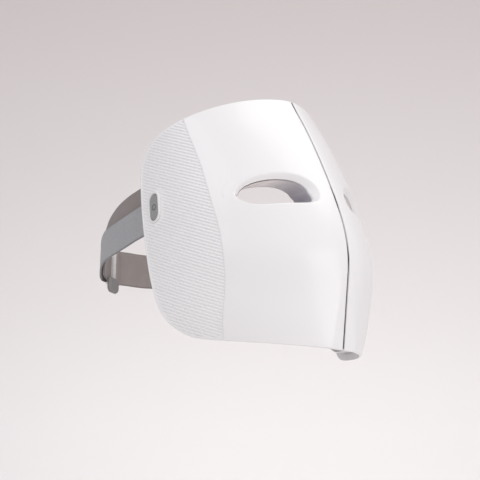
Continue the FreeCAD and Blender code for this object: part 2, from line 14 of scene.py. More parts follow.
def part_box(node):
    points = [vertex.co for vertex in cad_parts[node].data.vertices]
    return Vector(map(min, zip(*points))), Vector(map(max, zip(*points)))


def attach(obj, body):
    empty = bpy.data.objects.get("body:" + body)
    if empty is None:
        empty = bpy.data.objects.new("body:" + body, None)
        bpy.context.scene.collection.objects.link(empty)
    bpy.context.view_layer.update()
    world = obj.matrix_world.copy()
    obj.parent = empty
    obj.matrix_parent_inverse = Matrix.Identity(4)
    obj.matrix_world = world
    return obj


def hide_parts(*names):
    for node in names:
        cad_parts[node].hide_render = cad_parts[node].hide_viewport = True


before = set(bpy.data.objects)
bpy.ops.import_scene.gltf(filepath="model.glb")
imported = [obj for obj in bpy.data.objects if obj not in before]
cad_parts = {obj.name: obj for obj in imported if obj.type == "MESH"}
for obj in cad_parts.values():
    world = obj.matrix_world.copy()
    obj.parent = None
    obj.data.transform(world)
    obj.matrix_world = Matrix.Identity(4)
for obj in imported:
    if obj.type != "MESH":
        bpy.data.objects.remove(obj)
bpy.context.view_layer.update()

MM = 0.001
BODY = "mask"
SIDES = (("right", -1), ("left", 1))


def add_object(name, data):
    obj = bpy.data.objects.new(name, data)
    bpy.context.collection.objects.link(obj)
    return obj


# ---- camera
AZIMUTH, ELEVATION = radians(-41.7), radians(-14.7)
AIM = Vector((0.0, 0.0, -0.035))
DISTANCE = 1.082


def make_camera():
    data = bpy.data.cameras.new("view")
    camera = add_object("view", data)
    toward = Vector((
        sin(AZIMUTH) * cos(ELEVATION),
        -cos(AZIMUTH) * cos(ELEVATION),
        sin(ELEVATION),
    ))
    camera.location = AIM + toward * DISTANCE
    camera.rotation_euler = (-toward).to_track_quat("-Z", "Y").to_euler()
    data.lens = 97.4
    data.sensor_width = 36.0
    data.shift_x = -0.159
    data.shift_y = 0.007
    data.clip_start = 0.05
    data.clip_end = 20.0
    bpy.context.scene.camera = camera


# ---- the outer form
# Rows of the face form: height, setback of the centre line, flat start, half-width, and
# setbacks of the cheek's two shoulders. The centre line is a touch fuller than the CAD's.
LEVELS = np.array((
    (-136, -37, 11.8, 76, 18.1, 50.3),
    (-95, -37.9, 15.7, 99.6, 18.1, 50.3),
    (-55, -39.9, 25.2, 98.6, 18.1, 50.3),
    (-30, -35.4, 25.2, 98.6, 22.5, 49.9),
    (-5, -25.6, 25.4, 98.2, 21.4, 45.3),
    (25, -11.3, 27, 95.4, 24, 47.9),
    (65, 10.5, 25.5, 89.6, 23.2, 47.1),
    (106, 37.3, 18.4, 82, 20.6, 44.5),
))
CHEEK_RUN = 24.5
BACK = 132.0
NOSE_Z, CHIN_Z = -56.0, -130.0
NOSE_Y, CHIN_Y = -40.5, -32.8
FACET_SLOPE = (CHIN_Y - NOSE_Y) / (NOSE_Z - CHIN_Z)
SEAM = 0.85                     # half the slot between the two shell halves
SHELL = 2.4
LINER_TOP = (18.0, 11.5)        # front and side depths of the liner's outer face
LINER_LOW = (19.8, 13.3)        # the same of its inner face
LINER_INSET = 2.4               # how far the liner's edge stays inside the closing wall's outline
LINER_EYE = 6.2                 # how far its eye holes lie inside the eye outline

RIM = (
    (-45, -131), (5, -124.6), (42, -120), (62, -115), (76.5, -104),
    (88, -87), (97.5, -67), (106.5, -38), (114.5, -5), (121.5, 22),
    (124.5, 42), (119, 59.5), (104, 70.5), (84, 78.5), (62, 88.5),
    (44, 97), (30, 100), (0, 101),
)
PANEL_EDGE = (
    (36, -134), (26, -102), (22, -75), (24.5, -45), (36.5, -7.5),
    (56, 33), (75, 64.5), (92, 92),
)
EYE = (
    (71.2, -1.5), (67.5, 7.2), (56.5, 15), (38.6, 18.9), (22.8, 15.6), (14.6, 5),
    (17, -5.6), (28, -9.3), (48, -11.1), (64.5, -10.4),
)
WALL_RISE = (8, 8, 6.5, 4.5, 1.5)   # how far the closing wall stands above RIM's first points

LEVEL_Z = LEVELS[:, 0]
LOWEST, HIGHEST = LEVEL_Z[0], LEVEL_Z[-1]
CHORDS = np.diff(LEVELS[:, 1:], axis=0) / np.diff(LEVEL_Z)[:, None]
PRODUCTS = CHORDS[:-1] * CHORDS[1:]
SUMS = np.where(PRODUCTS > 0, CHORDS[:-1] + CHORDS[1:], 1.0)
SLOPES = np.vstack([CHORDS[:1], np.where(PRODUCTS > 0, 2 * PRODUCTS / SUMS, 0.0), CHORDS[-1:]])
BLUR_SPREAD = 8.5       # millimetres; the form's rows are averaged with this spread
BLUR = [(shift, exp(-0.5 * (shift / BLUR_SPREAD) ** 2)) for shift in range(-20, 21, 4)]
BLUR_SUM = sum(weight for shift, weight in BLUR)


def level_once(z):
    """Columns of LEVELS at heights z, by a cubic that never overshoots its rows."""
    i = np.clip(np.searchsorted(LEVEL_Z, z) - 1, 0, len(LEVELS) - 2)
    low, high = LEVELS[i, 1:], LEVELS[i + 1, 1:]
    span = (LEVEL_Z[i + 1] - LEVEL_Z[i])[..., None]
    t = (z - LEVEL_Z[i])[..., None] / span
    rise = high - low
    start, end = SLOPES[i] * span, SLOPES[i + 1] * span
    return low + t * (start + t * (3 * rise - 2 * start - end + t * (start + end - 2 * rise)))


def level(z):
    """The same, averaged over a short window, so that reflections run smoothly."""
    z = np.asarray(z, float)
    total = 0
    for shift, weight in BLUR:
        total = total + weight / BLUR_SUM * level_once(np.clip(z + shift, LOWEST, HIGHEST))
    return total


def ease(low, high, value):
    t = np.clip((np.asarray(value, float) - low) / (high - low), 0, 1)
    return t * t * (3 - 2 * t)


def weights(u):
    """Shares of the six control points of a half-section at u."""
    return [comb(5, k) * u ** k * (1 - u) ** (5 - k) for k in range(6)]


def facet_y(z):
    """Setback of the flat chin facet."""
    return NOSE_Y + FACET_SLOPE * (NOSE_Z - z)


def surface(u, z, front=0.0, side=0.0):
    """Point of a half-section, u 0 at the middle to 1 at the back; returns x and y.

    The depths below the outer face are `front` at the middle and `side` along the wing.
    """
    u, z, front, side = np.broadcast_arrays(u, z, front, side)
    row = level(z)
    setback, flat, half, near, far = (row[..., i] for i in range(5))
    lean = 0.25 + 0.31 * ease(-40, 0, z)        # the front leans back more above the eyes
    start = setback + front * np.sqrt(1 + lean * lean)
    shrink = front / 60.0
    wall = half - side
    shoulder = setback + far + 0.175 * (front + side)
    xs = (0 * u, flat * (1 - shrink), (flat + CHEEK_RUN) * (1 - 0.7 * shrink), wall, wall, wall)
    ys = (
        start, start, start + near - 0.1 * front, shoulder, (shoulder + BACK) / 2, BACK + 0 * u,
    )
    x, y = 0.0, 0.0
    for weight, across, back in zip(weights(u), xs, ys):
        x = x + weight * across
        y = y + weight * back
    return x, np.where(z < NOSE_Z, np.maximum(y, facet_y(z) + front), y)


def bisect(low, high, belongs_low, rounds=34):
    """Close in on where belongs_low turns false between low and high."""
    for _ in range(rounds):
        middle = (low + high) / 2
        keep = belongs_low(middle)
        low = np.where(keep, middle, low)
        high = np.where(keep, high, middle)
    return low, high


def solve(target, z, front=0.0, side=0.0, axis=1):
    """The u where a half-section's x (axis 0) or y (axis 1) reaches a target."""
    low, high = bisect(0.0, 1.0, lambda u: surface(u, z, front, side)[axis] < target)
    return (low + high) / 2


def form_points(u, z, front, side):
    """Points of the form at shares u of its half-sections."""
    x, y = surface(u, z, front, side)
    return np.stack([x, y, z], axis=-1)


def front_points(x, z, front, side):
    """Points of the form above given x and z."""
    u = solve(np.abs(x), z, front, side, axis=0)
    return np.stack([x, surface(u, z, front, side)[1], z], axis=-1)


def wing_points(y, z, front, side):
    """Points of the form beside given y and z."""
    return np.stack([surface(solve(y, z, front, side), z, front, side)[0], y, z], axis=-1)


def distances(path):
    """The distance run at each point of a path."""
    return np.concatenate([[0], np.cumsum(np.linalg.norm(np.diff(path, axis=0), axis=1))])


def spline(points, count, closed=False):
    """A natural (or closed) cubic spline through points, sampled evenly."""
    pts = np.array(points, float)
    if closed:
        pts = np.vstack([pts, pts[:1]])
    knots = distances(pts)
    h = np.diff(knots)
    n = len(pts)
    a, b = np.zeros((n, n)), np.zeros((n, 2))
    for i in range(1, n - 1):
        a[i, i - 1:i + 2] = h[i - 1], 2 * (h[i - 1] + h[i]), h[i]
        b[i] = 6 * ((pts[i + 1] - pts[i]) / h[i] - (pts[i] - pts[i - 1]) / h[i - 1])
    if closed:
        a[0, 0], a[0, -1] = 1, -1
        a[-1, 0], a[-1, 1], a[-1, -2], a[-1, -1] = 2 * h[0], h[0], h[-1], 2 * h[-1]
        b[-1] = 6 * ((pts[1] - pts[0]) / h[0] - (pts[-1] - pts[-2]) / h[-1])
    else:
        a[0, 0] = a[-1, -1] = 1
    bend = np.linalg.solve(a, b)
    t = np.linspace(0, knots[-1], count)
    i = np.clip(np.searchsorted(knots, t) - 1, 0, n - 2)
    step = h[i][:, None]
    p = (knots[i + 1] - t)[:, None]
    q = (t - knots[i])[:, None]
    cubic = (bend[i] * p ** 3 + bend[i + 1] * q ** 3) / (6 * step)
    left = (pts[i] / step - bend[i] * step / 6) * p
    right = (pts[i + 1] / step - bend[i + 1] * step / 6) * q
    return cubic + left + right


def offset(samples, amount):
    """Move a sampled outline to the left of its direction."""
    run = np.gradient(samples, axis=0)
    if np.allclose(samples[0], samples[-1]):
        run[0] = run[-1] = samples[1] - samples[-2]
    run /= np.hypot(run[:, 0], run[:, 1])[:, None]
    return samples + amount * np.stack([-run[:, 1], run[:, 0]], axis=1)


RIM_CURVE = spline(RIM, 1400)
PANEL_CURVE = spline(PANEL_EDGE, 500)
EYE_CURVE = spline(EYE, 193, closed=True)
RAISED = [(y, z + rise) for (y, z), rise in zip(RIM, WALL_RISE)]
WALL_CURVE = spline(RAISED + list(RIM[len(RAISED):]), 1400)


def rim_y(z, inset=0.0, outline=RIM_CURVE):
    """How far back the rim lies at a height."""
    curve = offset(outline, inset)
    return np.interp(z, curve[:, 1], curve[:, 0])


def panel_y(z):
    """How far back the side panel's front edge lies; it runs on straight above its last point."""
    top = PANEL_CURVE[-1]
    slope = (top - PANEL_CURVE[-30]) / (top[1] - PANEL_CURVE[-30][1])
    return np.interp(z, PANEL_CURVE[:, 1], PANEL_CURVE[:, 0]) + np.maximum(z - top[1], 0) * slope[0]


# ---- mesh helpers
def circle(count):
    """Evenly spread angles of a full turn."""
    return [2 * pi * k / count for k in range(count)]


def grid_faces(rows, columns, first=0, wrap=False):
    faces = []
    last = columns if wrap else columns - 1
    for i in range(rows - 1):
        for j in range(last):
            k = (j + 1) % columns
            a = first + i * columns
            faces.append((a + j, a + k, a + columns + k, a + columns + j))
    return faces


def closed_sheet(outer, inner):
    """A solid between two grids of the same shape: both faces and the walls round them."""
    rows, columns = outer.shape[:2]
    verts = np.concatenate([outer.reshape(-1, 3), inner.reshape(-1, 3)])
    half = rows * columns
    faces = grid_faces(rows, columns)
    faces += [tuple(reversed(f)) for f in grid_faces(rows, columns, half)]
    edge = list(range(columns))
    edge += [i * columns + columns - 1 for i in range(1, rows)]
    edge += [(rows - 1) * columns + j for j in range(columns - 2, -1, -1)]
    edge += [i * columns for i in range(rows - 2, 0, -1)]
    for a, b in zip(edge, edge[1:] + edge[:1]):
        faces.append((a, b, b + half, a + half))
    return verts, faces


def tube(rings, capped=True):
    """A solid through closed rings of points, shape (rings, points, 3)."""
    rings = np.asarray(rings, float)
    count, points = rings.shape[:2]
    faces = grid_faces(count, points, wrap=True)
    if capped:
        faces.append(tuple(range(points - 1, -1, -1)))
        faces.append(tuple((count - 1) * points + j for j in range(points)))
    else:
        last = (count - 1) * points
        for j in range(points):
            k = (j + 1) % points
            faces.append((last + j, last + k, k, j))
    return rings.reshape(-1, 3), faces


def join(parts):
    """Put several (verts, faces) together as one."""
    verts, faces, first = [], [], 0
    for points, sides in parts:
        verts.append(points)
        faces += [tuple(i + first for i in face) for face in sides]
        first += len(points)
    return np.concatenate(verts), faces


def mirrored(shape):
    verts, faces = shape
    return verts * np.array((-1, 1, 1)), [tuple(reversed(f)) for f in faces]


def sided(shape, side):
    """The shape on its side: as made on the positive x side, mirrored on the other."""
    return shape if side > 0 else mirrored(shape)


def mesh_from(name, verts, faces, merge=0.0, sharp=32):
    mesh = bpy.data.meshes.new(name)
    mesh.from_pydata([tuple(v) for v in verts * MM], [], faces)
    work = bmesh.new()
    work.from_mesh(mesh)
    if merge:
        bmesh.ops.remove_doubles(work, verts=work.verts, dist=merge * MM)
        bmesh.ops.dissolve_degenerate(work, edges=work.edges, dist=merge * MM * 0.1)
    bmesh.ops.recalc_face_normals(work, faces=work.faces)
    work.to_mesh(mesh)
    work.free()
    mesh.shade_smooth()
    mesh.set_sharp_from_angle(angle=radians(sharp))
    return mesh


def piece(name, shape, body, material, replaces=(), merge=0.0, sharp=32, uv=None):
    """A visible piece that rides on a body, takes a material and stands for CAD nodes."""
    mesh = mesh_from(name, *shape, merge=merge, sharp=sharp)
    obj = add_object(name, mesh)
    mesh.materials.append(MATERIALS[material])
    if uv:
        layer = mesh.uv_layers.new(name="weave")
        for loop in mesh.loops:
            layer.data[loop.index].uv = uv[loop.vertex_index]
    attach(obj, body)
    if replaces:
        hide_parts(*replaces)
    return obj


def carve(obj, tools, sharp):
    """Cut closed shapes out of a piece."""
    for tool in tools:
        cutter = add_object("cutter", mesh_from("cutter", *tool, merge=0.001))
        cut = obj.modifiers.new("cut", "BOOLEAN")
        cut.operation = "DIFFERENCE"
        cut.solver = "EXACT"
        cut.object = cutter
        depsgraph = bpy.context.evaluated_depsgraph_get()
        result = bpy.data.meshes.new_from_object(obj.evaluated_get(depsgraph))
        obj.modifiers.remove(cut)
        obj.data = result
        bpy.data.objects.remove(cutter)
    obj.data.shade_smooth()
    obj.data.set_sharp_from_angle(angle=radians(sharp))


def rounded(radius):
    """(distance from the edge, depth) along a rounded edge, from its wall to its face."""
    turns = [pi / 6 * k for k in range(4)]
    return [(radius * (1 - cos(a)), radius * (1 - sin(a))) for a in turns]


# ---- materials
MATERIALS = {}


class Nodes:
    """Short names for wiring one procedural material, which MATERIALS keeps by its name."""

    def __init__(self, name):
        self.material = MATERIALS[name] = bpy.data.materials.new(name)
        self.material.use_nodes = True
        self.tree = self.material.node_tree
        self.shader = self.tree.nodes["Principled BSDF"]

    def add(self, kind, **values):
        node = self.tree.nodes.new("ShaderNode" + kind)
        for key, value in values.items():
            node.inputs[key.replace("_", " ")].default_value = value
        return node

    def link(self, source, target):
        self.tree.links.new(source, target)

    def set(self, **values):
        for key, value in values.items():
            self.shader.inputs[key.replace("_", " ")].default_value = value

    def coords(self, kind="Object"):
        return self.add("TexCoord").outputs[kind]

    def axes(self, where=None):
        """The three parts of a coordinate, the object's own unless one is given."""
        node = self.add("SeparateXYZ")
        self.link(where or self.coords(), node.inputs["Vector"])
        return node.outputs

    def noise(self, scale, detail, rough=0.55, where=None):
        node = self.add("TexNoise", Scale=scale, Detail=detail, Roughness=rough)
        self.link(where or self.coords(), node.inputs["Vector"])
        return node.outputs["Fac"]

    def spread(self, source, low, high, start=0.3, end=0.7):
        node = self.add("MapRange", From_Min=start, From_Max=end, To_Min=low, To_Max=high)
        self.link(source, node.inputs["Value"])
        return node.outputs["Result"]

    def math(self, operation, first, second=None):
        """One Math node; its inputs are sockets or plain numbers."""
        node = self.add("Math")
        node.operation = operation
        for place, value in enumerate((first, second)):
            if isinstance(value, (int, float)):
                node.inputs[place].default_value = value
            elif value is not None:
                self.link(value, node.inputs[place])
        return node.outputs[0]

    def color(self, source, *stops):
        """Colour the surface by a ramp of (place, colour) stops over a source."""
        node = self.add("ValToRGB")
        for element, (place, color) in zip(node.color_ramp.elements, stops):
            element.position = place
            element.color = (*color, 1.0)
        self.link(source, node.inputs["Fac"])
        self.link(node.outputs["Color"], self.shader.inputs["Base Color"])

    def gloss(self, low, high, scale=160.0):
        """Let the roughness wander between two values."""
        cloud = self.noise(scale, 6.0)
        self.link(self.spread(cloud, low, high), self.shader.inputs["Roughness"])

    def bump(self, height, distance):
        node = self.add("Bump", Distance=distance)
        self.link(height, node.inputs["Height"])
        self.link(node.outputs["Normal"], self.shader.inputs["Normal"])


def tint(color, factor):
    return tuple(c * factor for c in color)


def plastic(name, color, rough, grain=0.00002, mottling=0.02, coat=0.0, scale=900.0, uneven=0.06):
    """Moulded plastic: faint mottling, uneven gloss and a fine moulded grain."""
    m = Nodes(name)
    m.color(m.noise(38.0, 5.0), (0.3, tint(color, 1 - mottling)), (0.7, color))
    m.gloss(rough - uneven, rough + uneven)
    m.bump(m.noise(scale, 3.0), grain)
    if coat:
        m.set(Coat_Weight=coat, Coat_Roughness=0.08)


def cup_plastic_with_painted_shade():
    """The eye cup's translucent plastic, with painted shade that darkens it to lilac towards the nose."""
    m = Nodes("cup")
    aside = m.math("ABSOLUTE", m.axes()["X"])
    blotch = m.math("MULTIPLY", m.noise(60.0, 5.0), 0.004)
    place = m.math("ADD", aside, blotch)
    # painted shade: the share runs from the nose side, painted dark lilac, to the outer side, painted
    # light
    share = m.spread(place, 0.0, 1.0, start=0.021, end=0.044)
    m.color(share, (0.0, (0.37, 0.355, 0.40)), (1.0, (0.86, 0.81, 0.80)))
    m.gloss(0.38, 0.5)
    m.bump(m.noise(900.0, 3.0), 0.00001)


def webbing(name, dark, light, pitch, heather=0.0, edge=0.0):
    """Woven strap: crossing ribs in its own length and width, stray fibres and painted shade darkening
    both edges.
    """
    m = Nodes(name)
    where = m.coords("UV")
    axes = m.axes(where)
    waves = []
    for axis, size in ((0, pitch), (1, pitch * 1.25)):
        waves.append(m.math("SINE", m.math("MULTIPLY", axes[axis], 2 * pi / size)))
    cross = m.math("MULTIPLY", *waves)
    fibre = m.noise(1.6, 6.0, rough=0.7, where=where)
    height = m.math("ADD", m.math("MULTIPLY", cross, 0.35), fibre)
    shade = m.spread(height, 0.0, 1.0, start=0.1, end=0.95)
    cloud = m.noise(0.35 if heather else 0.08, 5.0, where=where)
    both = m.math("ADD", m.math("MULTIPLY", cloud, 0.35 + heather), shade)
    tone = m.spread(both, 0.0, 1.0, start=0.1, end=1.25 + heather)
    if edge:
        # painted shade: the tone drops towards both edges, where the strap's face turns away from the
        # light
        across = m.math("ABSOLUTE", axes["Y"])
        tone = m.math("SUBTRACT", tone, m.spread(across, 0.0, 0.4, start=edge - 1.6, end=edge - 0.5))
    m.color(tone, (0.0, dark), (1.0, light))
    m.set(Roughness=0.88, Sheen_Weight=0.25, Sheen_Roughness=0.5)
    m.bump(height, 0.00018)


def metal(name, color, rough):
    m = Nodes(name)
    m.set(Metallic=1.0)
    m.color(m.noise(120.0, 5.0), (0.3, tint(color, 0.93)), (0.7, color))
    m.gloss(rough * 0.7, rough * 1.5, scale=420.0)
    m.bump(m.noise(700.0, 2.0), 0.00001)


def make_materials():
    plastic("shell", (0.86, 0.85, 0.855), 0.34, grain=0.000003, mottling=0.005, coat=0.2, uneven=0.02)
    plastic("panel", (0.86, 0.853, 0.862), 0.4, grain=0.00001, mottling=0.01)
    # the seam gasket is a real part; its near-black colour is painted shade of the slot between the shell
    # halves
    plastic("gasket", (0.05, 0.048, 0.05), 0.7)
    cup_plastic_with_painted_shade()
    plastic("liner", (0.60, 0.585, 0.59), 0.38, mottling=0.03, coat=0.1)
    plastic("frame", (0.72, 0.70, 0.70), 0.5, mottling=0.03)
    plastic("board", (0.62, 0.64, 0.60), 0.45)
    plastic("lamp", (0.86, 0.80, 0.62), 0.2, coat=0.6)
    plastic("chip", (0.02, 0.02, 0.022), 0.4)
    plastic("cell", (0.45, 0.47, 0.5), 0.35)
    metal("socket", (0.55, 0.55, 0.56), 0.3)
    plastic("sensor", (0.02, 0.015, 0.02), 0.12, coat=0.8)
    plastic("button", (0.30, 0.30, 0.302), 0.55, grain=0.00004, scale=1500.0)
    plastic("button_rim", (0.80, 0.79, 0.795), 0.3)
    plastic("mark", (0.13, 0.125, 0.125), 0.4)
    plastic("pad", (0.50, 0.475, 0.485), 0.62, grain=0.00003, mottling=0.04)
    webbing("strap", (0.155, 0.13, 0.123), (0.33, 0.288, 0.28), 1.3, edge=15.0)
    webbing("loop_side", (0.19, 0.192, 0.205), (0.53, 0.53, 0.55), 0.8, heather=0.5, edge=15.0)
    # painted light: the far strap is the strap's own brown webbing, painted lighter to lift its inner
    # face out of its shade
    webbing("far_strap_painted_light", (0.25, 0.215, 0.205), (0.52, 0.465, 0.45), 1.3, edge=17.0)
    webbing("tab", (0.20, 0.19, 0.19), (0.34, 0.325, 0.325), 0.7, heather=0.2)
    metal("ring", (0.72, 0.71, 0.70), 0.16)
    metal("pin", (0.5, 0.5, 0.5), 0.3)
    plastic("thread", (0.34, 0.30, 0.295), 0.8)
    plastic("sleeve", (0.82, 0.80, 0.79), 0.3)
    plastic("lens", (0.80, 0.74, 0.72), 0.12, coat=0.6)


# ---- shell halves
RIM_ROUND = 0.9         # radius of the shell's top and bottom edges
SHELL_ROWS = 118


def crease_x(z):
    """Half-width of the flat chin facet, never under 3 mm so the grid keeps its shape."""
    setback, _, _, near, far = level(z).T
    ys = (setback, setback, setback + near, setback + far, (setback + far + BACK) / 2, BACK + 0 * z)

    def before_facet(u):
        y = 0.0
        for weight, back in zip(weights(u), ys):
            y = y + weight * back
        return y < facet_y(z)

    low, _ = bisect(0.0, 0.6, before_facet, rounds=30)
    x = surface(low, z)[0]
    return np.where(z < NOSE_Z, np.maximum(x, 3.0), 3.0)


def shell_grids():
    """Outer and inner grids of one shell half, from the seam to the panel's edge."""
    heights = np.linspace(LOWEST + 0.5, HIGHEST - 0.5, 483)
    crease = crease_x(heights)
    edge = rounded(0.8)
    first = SEAM + edge[-1][0]
    table = [solve(SEAM + gap, heights, axis=0) for gap, _ in edge]
    for share in (0.33, 0.66, 1.0):
        table.append(solve(first + share * (crease - 0.25 - first), heights, axis=0))
    after = solve(crease + 0.25, heights, axis=0)
    back = panel_y(heights)
    last = solve(back - 0.5, heights)
    table += [after + share * (last - after) for share in np.linspace(0, 1, 62)]
    depths = [depth for _, depth in edge]
    depths += [0.0] * (len(table) - len(edge))
    back_edge = rounded(0.5)[-2::-1]
    table = np.array(table + [solve(back - gap, heights) for gap, _ in back_edge])
    depths = np.array(depths + [depth for _, depth in back_edge])

    def within_rim(z):
        u = np.array([np.interp(at, heights, column) for at, column in zip(z, table)])
        return rim_y(z) - surface(u, z)[1] > 0

    ends = []
    for inside, outside in ((-98.0, -135.0), (55.0, 105.0)):
        inner, outer = bisect(np.full(len(table), inside), np.full(len(table), outside), within_rim)
        ends.append((inner + outer) / 2)
    low, high = ends
    rim = rounded(RIM_ROUND)
    rows = [low + gap for gap, _ in rim]
    for share in np.arange(1, SHELL_ROWS) / SHELL_ROWS:
        rows.append(low + RIM_ROUND + share * (high - low - 2 * RIM_ROUND))
    rows = np.array(rows + [high - gap for gap, _ in rim[::-1]])
    rim_depths = [depth for _, depth in rim]
    row_depths = np.array(rim_depths + [0.0] * (SHELL_ROWS - 1) + rim_depths[::-1])
    u = np.stack([np.interp(z, heights, column) for z, column in zip(rows.T, table)], axis=-1)
    depth = np.maximum(row_depths[:, None], depths[None, :])
    return form_points(u, rows, depth, depth), form_points(u, rows, SHELL, SHELL)


EYE_MARGIN = 6.0        # the eye's lining starts this far outside the bevel
LOWER_LIP = 0.78        # share of the bevel's width that the lower lip lacks


def eye_loop(inset):
    """The eye outline moved in; its bevel is much steeper along the lower lip."""
    moved = offset(EYE_CURVE, inset)
    if inset <= 0:
        return moved[:-1]
    inward = (moved - EYE_CURVE)[:, 1] / inset
    lip = 1 - LOWER_LIP * ease(-0.15, 0.9, inward)
    return (EYE_CURVE + (moved - EYE_CURVE) * lip[:, None])[:-1]


def eye_wall(inset):
    """A closed prism through the eye outline on the positive x side."""
    curve = eye_loop(inset)
    return tube([np.insert(curve, 1, y, axis=1) for y in (-90.0, 150.0)])


def make_shells():
    shape = closed_sheet(*shell_grids())
    for word, side in SIDES:
        name = "shell_" + word
        shell = piece(name, sided(shape, side), BODY, "shell", [name])
        carve(shell, [sided(eye_wall(-EYE_MARGIN), side)], 24)


def make_eyes():
    """The shell's bevelled lining and the tapered cup of each eye window."""
    lining = (
        (-EYE_MARGIN, 2.4), (-EYE_MARGIN, 0), (-4.5, 0), (-3, 0), (-2, 0), (-1.2, 0),
        (-0.6, 0.02), (-0.1, 0.1), (0.4, 0.3), (0.9, 0.62), (1.5, 1.12), (2.2, 1.75), (2.9, 2.4),
        (3.3, 2.8), (3.5, 3.1), (3.75, 3.3), (4.2, 3.65), (4.6, 4), (4.85, 4.4), (4.95, 5),
        (4.95, 6.5), (3.6, 6.5), (1.2, 3.9), (-1.4, 2.9), (-3, 2.4),
    )
    cup = (
        (5.4, 6.4), (5.5, 5.8), (5.75, 5.6), (6, 6), (6.2, 8), (6.5, 12), (6.9, 17),
        (7.1, 20.6), (6.95, 21), (6.6, 21), (6.35, 20), (6.15, 15), (5.85, 10),
        (5.5, 7.6),
    )
    for name, slot, key, profile in (
        ("eye_bezel", "bezel", "shell", lining),
        ("eye_cup", "cup", "cup", cup),
    ):
        rings = []
        for inset, depth in profile:
            rings.append(front_points(*eye_loop(inset).T, depth, depth))
        shape = tube(rings, capped=False)
        for word, side in SIDES:
            node = "%s_%s" % (name, word)
            piece(node, sided(shape, side), BODY, key, [node], sharp=38)


# ---- ribbed side panels
RIB_PITCH = 2.75
RIB_SLOPE = 0.39        # the ribs fall towards the front
RIB_DEPTH = 0.85
SUNK = 0.12             # how far the ribs' tops lie below the shell's face
MARGIN = 2.2            # plain margin along the panel's back edge
PANEL_GAP = 0.28        # between the panel and the shell
PANEL_WALL = 2.2
BUTTON_LEAN = radians(8.0)
BUTTON_RUN = 6.1        # half the straight length of the button's slot shape


def button_distance(y, z, spot):
    """Distance in the side view from the button's slot-shaped middle line."""
    dy, dz = y - spot[1], z - spot[2]
    along = dz * cos(BUTTON_LEAN) + dy * sin(BUTTON_LEAN)
    across = dy * cos(BUTTON_LEAN) - dz * sin(BUTTON_LEAN)
    beyond = np.maximum(np.abs(along) - BUTTON_RUN, 0)
    return np.hypot(across, beyond)


def panel_field(spot):
    """Grids of the ribbed field: one row per step across the ribs."""
    ys = np.linspace(14.0, 128.0, 1200)
    steps = 8
    w = np.arange(-160.0, 75.0, RIB_PITCH / steps)
    z = w[:, None] + RIB_SLOPE * ys[None, :]
    inside = np.minimum(ys[None, :] - panel_y(z) - PANEL_GAP, rim_y(z, MARGIN - 0.3) - ys[None, :])
    keep = (inside > 0).sum(axis=1) > 12
    w, inside = w[keep], inside[keep]
    first = np.argmax(inside > 0, axis=1)
    last = len(ys) - 1 - np.argmax(inside[:, ::-1] > 0, axis=1)
    k = np.arange(len(w))
    step = ys[1] - ys[0]
    start = ys[first] - step * inside[k, first] / (inside[k, first] - inside[k, first - 1])
    end = ys[last] + step * inside[k, last] / (inside[k, last] - inside[k, last + 1])
    share = np.concatenate([[0, 0.004, 0.012], np.linspace(0.03, 0.95, 44), [0.975, 0.99, 1.0]])
    y = start[:, None] + share[None, :] * (end - start)[:, None]
    z = w[:, None] + RIB_SLOPE * y
    wave = 0.5 - 0.5 * np.cos(2 * pi * w / RIB_PITCH)
    groove = np.broadcast_to((wave ** 3.0)[:, None], y.shape)
    fade = ease(0.2, 1.6, end[:, None] - y)
    if spot is not None:
        fade = fade * ease(9.6, 11.0, button_distance(y, z, spot))
    depth = SUNK + RIB_DEPTH * groove * fade
    depth = np.maximum(depth, SUNK + 0.5 * (1 - ease(0.0, 0.5, y - start[:, None])))
    return wing_points(y, z, depth, depth), wing_points(y, z, PANEL_WALL, PANEL_WALL)


def panel_border():
    """The plain band along the panel's back edge, with a rounded rim."""
    profile = (
        (MARGIN, 2.2), (MARGIN, 0.35), (MARGIN - 0.1, SUNK), (MARGIN - 0.3, 0), (1.6, 0),
        (1.2, 0.02), (0.8, 0.07), (0.4, 0.28), (0.12, 0.65), (0, 1.1), (0, 2.2),
    )
    rings = []
    for inset, depth in profile:
        curve = offset(RIM_CURVE, inset)
        beyond = curve[:, 0] - panel_y(curve[:, 1]) - PANEL_GAP
        good = np.nonzero(beyond > 0)[0]
        ends = []
        for a, b in ((good[0] - 1, good[0]), (good[-1], good[-1] + 1)):
            share = beyond[a] / (beyond[a] - beyond[b])
            ends.append(curve[a] + share * (curve[b] - curve[a]))
        path = np.vstack([ends[:1], curve[good], ends[1:]])
        run = distances(path)
        even = along(path, run, np.linspace(0, run[-1], 260))
        rings.append(wing_points(*even.T, depth, depth))
    return tube(np.array(rings).transpose(1, 0, 2))


def make_panels(spot):
    border = panel_border()
    for word, side in SIDES:
        name = "side_panel_" + word
        field = closed_sheet(*panel_field(spot if side < 0 else None))
        panel = piece(name, sided(field, side), BODY, "panel", [name], merge=0.004, sharp=50)
        if side < 0:
            plug = tube(slot_rings(((8.15, -12), (8.15, 12)), spot))
            carve(panel, [plug], 50)
        piece("side_panel_border_" + word, sided(border, side), BODY, "panel", sharp=40)


# ---- power button
RIM_PROUD = 0.7         # how far the button's rim stands out of the wing


def button_spot():
    """Where the middle of the button meets the wing's face."""
    low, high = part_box("button_rim")
    middle = (low + high) / 2 / MM
    return (low.x / MM + RIM_PROUD, middle.y, middle.z)


def slot_rings(profile, spot):
    """Rings of the button's slot shape, from (radius, height out of the wing) pairs."""
    rings = []
    for radius, out in profile:
        ring = []
        for turn in circle(48):
            across = radius * cos(turn)
            along = radius * sin(turn) + (BUTTON_RUN if sin(turn) >= 0 else -BUTTON_RUN)
            y = spot[1] + across * cos(BUTTON_LEAN) + along * sin(BUTTON_LEAN)
            z = spot[2] - across * sin(BUTTON_LEAN) + along * cos(BUTTON_LEAN)
            ring.append((spot[0] - out, y, z))
        rings.append(ring)
    return rings


